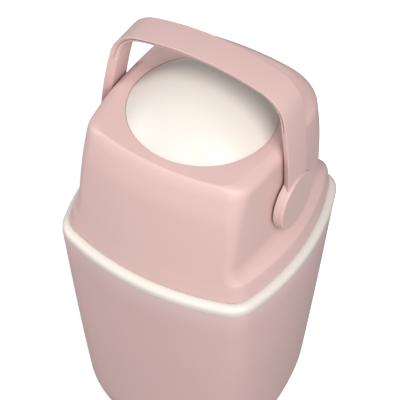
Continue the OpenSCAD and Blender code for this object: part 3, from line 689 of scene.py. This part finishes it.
def build_screw_tree():
    """A screw on every point, head up along Z before its turn, all its sizes inputs."""
    tree = bpy.data.node_groups.new("screws", "GeometryNodeTree")
    tree.interface.new_socket("Geometry", in_out="INPUT", socket_type="NodeSocketGeometry")
    for label in SCREW_SIZES:
        tree.interface.new_socket(label, in_out="INPUT", socket_type="NodeSocketFloat")
    tree.interface.new_socket("Turn", in_out="INPUT", socket_type="NodeSocketVector")
    tree.interface.new_socket("Material", in_out="INPUT", socket_type="NodeSocketMaterial")
    tree.interface.new_socket("Geometry", in_out="OUTPUT", socket_type="NodeSocketGeometry")
    given = tree.nodes.new("NodeGroupInput").outputs

    def node(kind, settings=(), **sockets):
        made = tree.nodes.new(kind)
        for key, value in settings:
            setattr(made, key, value)
        for label, value in sockets.items():
            feed(tree, made.inputs[label.replace("_", " ")], value)
        return made

    def reckon(operation, first, second):
        made = tree.nodes.new("ShaderNodeMath")
        made.operation = operation
        for socket, value in zip(made.inputs, (first, second)):
            feed(tree, socket, value)
        return made.outputs[0]

    def moved_down(mesh, distance):
        place = node("ShaderNodeCombineXYZ", Z=reckon("MULTIPLY", distance, -1)).outputs[0]
        return node("GeometryNodeTransform", Geometry=mesh, Translation=place).outputs[0]

    head_r, head_h = given["Head Radius"], given["Head Height"]
    head = node("GeometryNodeMeshCylinder", Vertices=HEAD_SIDES, Radius=head_r, Depth=head_h).outputs["Mesh"]
    recess = []
    for along, across in ((RECESS_LONG, RECESS_WIDE), (RECESS_WIDE, RECESS_LONG)):
        size = node("ShaderNodeCombineXYZ", X=reckon("MULTIPLY", head_r, along),
                    Y=reckon("MULTIPLY", head_r, across), Z=head_h).outputs[0]
        recess.append(node("GeometryNodeMeshCube", Size=size).outputs["Mesh"])
    cutter = node("GeometryNodeMeshBoolean", (("operation", "UNION"), ("solver", "EXACT")))
    for slot in recess:
        tree.links.new(slot, cutter.inputs["Mesh 2"])
    sunk = moved_down(cutter.outputs["Mesh"], reckon("MULTIPLY", head_h, -RECESS_RISE))
    cross_cut = node("GeometryNodeMeshBoolean", (("operation", "DIFFERENCE"), ("solver", "EXACT")),
                     Mesh_1=head, Mesh_2=sunk)
    shaft_r, length = given["Shaft Radius"], given["Length"]
    rod = node("GeometryNodeMeshCylinder", Vertices=SHAFT_SIDES, Radius=shaft_r, Depth=length)
    shaft = rod.outputs["Mesh"]
    screw = tree.nodes.new("GeometryNodeJoinGeometry")
    tree.links.new(moved_down(cross_cut.outputs["Mesh"], reckon("MULTIPLY", head_h, 0.5)), screw.inputs[0])
    shaft_drop = reckon("ADD", reckon("MULTIPLY", head_h, SHAFT_START), reckon("MULTIPLY", length, 0.5))
    tree.links.new(moved_down(shaft, shaft_drop), screw.inputs[0])
    placed = node("GeometryNodeInstanceOnPoints", Points=given["Geometry"], Instance=screw.outputs[0],
                  Rotation=given["Turn"])
    real = node("GeometryNodeRealizeInstances", Geometry=placed.outputs[0])
    finished = node("GeometryNodeSetMaterial", Geometry=real.outputs[0], Material=given["Material"])
    result = tree.nodes.new("NodeGroupOutput")
    tree.links.new(finished.outputs[0], result.inputs[0])
    return tree


screw_tree = build_screw_tree()


def draw_line(name, places, joined=False, looped=False):
    """An object of loose points, or of points joined into an open or closed line."""
    total = len(places)
    edges = [(i, (i + 1) % total) for i in range(total if looped else total - 1)] if joined else []
    mesh = bpy.data.meshes.new(name)
    mesh.from_pydata([tuple(c * MM for c in place) for place in places], edges, [])
    piece = bpy.data.objects.new(name, mesh)
    bpy.context.scene.collection.objects.link(piece)
    return piece


def grow(name, tree, places, values, joined=False):
    """The plain mesh that a tree makes over some points, or over a line through them. The
    values are its named inputs."""
    piece = draw_line(name, places, joined)
    modifier = piece.modifiers.new("tree", "NODES")
    modifier.node_group = tree
    identifiers = {item.name: item.identifier for item in tree.interface.items_tree if item.in_out == "INPUT"}
    for label, value in values.items():
        modifier[identifiers[label]] = value
    grown = bpy.data.meshes.new_from_object(piece.evaluated_get(bpy.context.evaluated_depsgraph_get()))
    piece.modifiers.clear()
    piece.data = grown
    smooth(grown, 35)
    return piece


def add_screws(name, body, node, places, turn, sizes):
    """Screws of one kind in their finish. They replace a CAD node if one is named."""
    values = {label: size * MM for label, size in zip(SCREW_SIZES, sizes)}
    values["Turn"] = tuple(turn.to_euler())
    values["Material"] = zinc
    piece = grow(name, screw_tree, places, values)
    finish_piece(piece, body, "steel", *([node] if node else []))


def four(x, y, z):
    """The four corners of a rectangle about the Z axis."""
    return [(a * x, b * y, z) for a in (-1, 1) for b in (-1, 1)]


def build_screws():
    places = four(CRADLE_SCREW_X, CRADLE_SCREW_Y, SEAT_Z + CRADLE_SCREW_H)
    add_screws("cradle_screw_set", "lid", "cradle_screws", places, FACE_DOWN, CRADLE_SCREW)
    places = [flip_turn @ Vector(place) for place in four(*DRUM_SCREW_PLACE)]
    add_screws("drum_screw_set", "flip", "drum_screws", places, flip_turn @ FACE_DOWN, DRUM_SCREW)
    for side in (-1, 1):
        inward = flip_turn @ Matrix.Rotation(-side * math.pi / 2, 4, "Y")
        outward = flip_turn @ Matrix.Rotation(side * math.pi / 2, 4, "Y")
        places = [flip_turn @ Vector((side * TRUNNION_SCREW_X, y, z))
                  for y, z, _ in four(TRUNNION_SCREW_OFF, TRUNNION_SCREW_OFF, 0)]
        replaced = "trunnion_screws" if side > 0 else ""
        add_screws("trunnion_screw_set", "flip", replaced, places, inward, TRUNNION_SCREW)
        places = [flip_turn @ Vector((side * HUB_SCREW_X, 0, 0))]
        replaced = "hub_screws" if side > 0 else ""
        add_screws("hub_screw_set", "flip", replaced, places, outward, HUB_SCREW)


build_screws()

# DRUM
# A ball in two cream halves that are screwed together around the bore liner. Only its
# crown shows in the opening until the handle is swung over.
for part in ("drum_dome", "drum_base", "bore_liner", "bore_ring_front", "bore_ring_back"):
    finish_piece(dress(part, cream_plastic), "flip", "cream_plastic", part)
for part in ("trunnion_left", "trunnion_right"):
    finish_piece(dress(part, grey_plastic), "flip", "grey_plastic", part)

# HANDLE
# The arched carrying handle: a moulded strap whose edges slant in from a narrow land, a
# round hub at each end, and a separate grip that makes up its inner side over the top.
ARCH_H = 162.2
ARCH_HALF_X = 120.5
ARCH_TOP_R = 309
ARCH_SIDE_R = 573
ARCH_CORNER_R = 43
STRAP_W = 40.4
STRAP_LAND = 1.0
STRAP_SKIN = 5.2
STRAP_T = 9.0
STRAP_INNER_W = 30
HUB_R = 35
HUB_X0 = 110.4
HUB_X1 = 117.5
HUB_CHAMFER = 1
HUB_BORDER = 3
LATHE_CENTRE_R = 1
LATHE_STEPS = 96
LAND_ROUND = 1
BEND_ROUND = 0.5
INNER_ROUND = 1.5
GRIP_EDGE_ROUND = 0.6
GRIP_START = 18
GRIP_SINK = 0.15
GRIP_OVERLAP = 0.1
ARCH_BOWS = 20
ARCH_CORNERS = 28


def arch(inward):
    """The arch moved in by a distance, from the axis on the right over to the left."""
    half = [(p.x, -p.y) for p in quarter(
        ARCH_HALF_X - inward, ARCH_H - inward, ARCH_TOP_R - inward, ARCH_SIDE_R - inward,
        ARCH_CORNER_R - inward, ARCH_BOWS, ARCH_CORNERS)]
    return half[:0:-1] + [(-x, z) for x, z in half]


def strap_half(depth):
    """The strap's half width at a depth under its face: it slants in from a narrow land."""
    slant = max(0, depth - STRAP_LAND) / (STRAP_T - STRAP_LAND)
    return (STRAP_W - (STRAP_W - STRAP_INNER_W) * slant) / 2


def strap_section(depths, cuts, sunk=0):
    """A section of the strap: depths under its face, and distances across it."""
    right = [(depth, sunk - strap_half(depth)) for depth in depths]
    left = [(depth, -across) for depth, across in reversed(right)]
    return soften(left + right, list(reversed(cuts)) + list(cuts), 4, looped=True)


def swept(stops):
    """A closed skin of a section carried along the arch, which may change at a stop. A stop
    is a point of the arch and the section there."""
    rings = []
    for (first, section), (last, _) in zip(stops, stops[1:]):
        lines = [arch(inward) for inward, _ in section]
        rings += [[tuple(flip_turn @ Vector((line[i][0], across, line[i][1])))
                   for line, (_, across) in zip(lines, section)] for i in range(first, last + 1)]
    return skin(rings)


def lathe(section, side):
    """A closed skin turned about the handle's axis. The section's points are radius and
    distance along X, from the inner face outwards."""
    turns = [math.tau * i / LATHE_STEPS for i in range(LATHE_STEPS)]
    rings = [[tuple(flip_turn @ Vector((side * x, r * math.cos(a), side * r * math.sin(a)))) for a in turns]
             for r, x in section]
    return skin(rings)


def build_sweep_tree():
    """A closed bar: a section, drawn flat, carried along a line and capped at its ends."""
    tree = bpy.data.node_groups.new("sweep", "GeometryNodeTree")
    tree.interface.new_socket("Geometry", in_out="INPUT", socket_type="NodeSocketGeometry")
    tree.interface.new_socket("Section", in_out="INPUT", socket_type="NodeSocketObject")
    tree.interface.new_socket("Material", in_out="INPUT", socket_type="NodeSocketMaterial")
    tree.interface.new_socket("Geometry", in_out="OUTPUT", socket_type="NodeSocketGeometry")
    given = tree.nodes.new("NodeGroupInput")
    path = tree.nodes.new("GeometryNodeMeshToCurve")
    section = tree.nodes.new("GeometryNodeObjectInfo")
    profile = tree.nodes.new("GeometryNodeMeshToCurve")
    bar = tree.nodes.new("GeometryNodeCurveToMesh")
    bar.inputs["Fill Caps"].default_value = True
    real = tree.nodes.new("GeometryNodeRealizeInstances")
    finished = tree.nodes.new("GeometryNodeSetMaterial")
    result = tree.nodes.new("NodeGroupOutput")
    for first, second in (
        (given.outputs["Geometry"], path.inputs["Mesh"]),
        (given.outputs["Section"], section.inputs["Object"]),
        (section.outputs["Geometry"], profile.inputs["Mesh"]),
        (path.outputs["Curve"], bar.inputs["Curve"]),
        (profile.outputs["Curve"], bar.inputs["Profile Curve"]),
        (bar.outputs["Mesh"], real.inputs["Geometry"]),
        (real.outputs["Geometry"], finished.inputs["Geometry"]),
        (given.outputs["Material"], finished.inputs["Material"]),
        (finished.outputs["Geometry"], result.inputs[0]),
    ):
        tree.links.new(first, second)
    return tree


def build_handle():
    full = strap_section((0, STRAP_LAND, STRAP_T), (LAND_ROUND, BEND_ROUND, INNER_ROUND))
    face = [Vector((min(depth, STRAP_SKIN - GRIP_OVERLAP), across)) for depth, across in full]
    insert = strap_section((STRAP_SKIN, STRAP_T), (GRIP_EDGE_ROUND, INNER_ROUND), GRIP_SINK)
    last = 2 * (2 * ARCH_BOWS + ARCH_CORNERS)
    edge = 0.3 * HUB_CHAMFER
    hub = [(LATHE_CENTRE_R, HUB_X0), (HUB_R - HUB_CHAMFER, HUB_X0), (HUB_R - edge, HUB_X0 + edge),
           (HUB_R, HUB_X0 + HUB_CHAMFER), (HUB_R, HUB_X1), (HUB_R - HUB_BORDER, HUB_X1),
           (LATHE_CENTRE_R, HUB_X1)]
    strap = swept([(0, full), (GRIP_START, face), (last - GRIP_START, full), (last, full)])
    handle = add_piece("handle_strap", [strap] + [lathe(hub, side) for side in (1, -1)], pink_plastic)
    weld(handle.data)
    smooth(handle.data, 32)
    line = [(x, 0, z) for x, z in arch(0)[GRIP_START:last - GRIP_START + 1]]
    drawn_flat = [(across, inward, 0) for inward, across in reversed(insert)]
    outline = draw_line("grip_section", drawn_flat, joined=True, looped=True)
    inputs = {"Section": outline, "Material": pink_plastic}
    grip = grow("handle_grip_insert", build_sweep_tree(), line, inputs, joined=True)
    bpy.data.objects.remove(outline)
    grip.data.transform(Matrix.Translation((0, 0, PIVOT_Z * MM)) @ flip_turn.to_3x3().to_4x4())
    finish_piece(handle, "flip", "pink_plastic", "handle")
    finish_piece(grip, "flip", "pink_plastic", "handle_grip")


build_handle()

# HUB CAPS
# Round pink caps pressed into the hubs over the screws, with a rounded rim.
HUB_FACE_X = 122.5
CAP_ROUND = 1.6
CAP_ROUND_STEP = 15
CAP_SEAM = 0.3
CAP_BORDER = 1
CAP_MIDDLE_R = 6


def build_cap(side, node):
    foot = [(LATHE_CENTRE_R, HUB_X1), (HUB_R - CAP_SEAM, HUB_X1), (HUB_R, HUB_X1 + CAP_SEAM)]
    rim = []
    for degrees in range(0, 91, CAP_ROUND_STEP):
        turn = math.radians(degrees)
        rim.append((HUB_R - CAP_ROUND * (1 - math.cos(turn)), HUB_FACE_X - CAP_ROUND * (1 - math.sin(turn))))
    radii = (HUB_R - CAP_ROUND - CAP_BORDER, CAP_MIDDLE_R, LATHE_CENTRE_R)
    face = [(radius, HUB_FACE_X) for radius in radii]
    cap = add_piece(node + "_moulding", [lathe(foot + rim + face, side)], pink_plastic)
    finish_piece(cap, "flip", "pink_plastic", node)


build_cap(-1, "hub_cap_left")
build_cap(1, "hub_cap_right")

# PISTON
# The loose piston in the bore: a grey moulded cup with a cover, and two rubber rings.
finish_piece(dress("piston", grey_plastic), "piston", "grey_plastic", "piston")
finish_piece(dress("piston_cover", grey_plastic), "piston", "grey_plastic", "piston_cover")
finish_piece(dress("piston_seals", rubber), "piston", "rubber", "piston_seals")
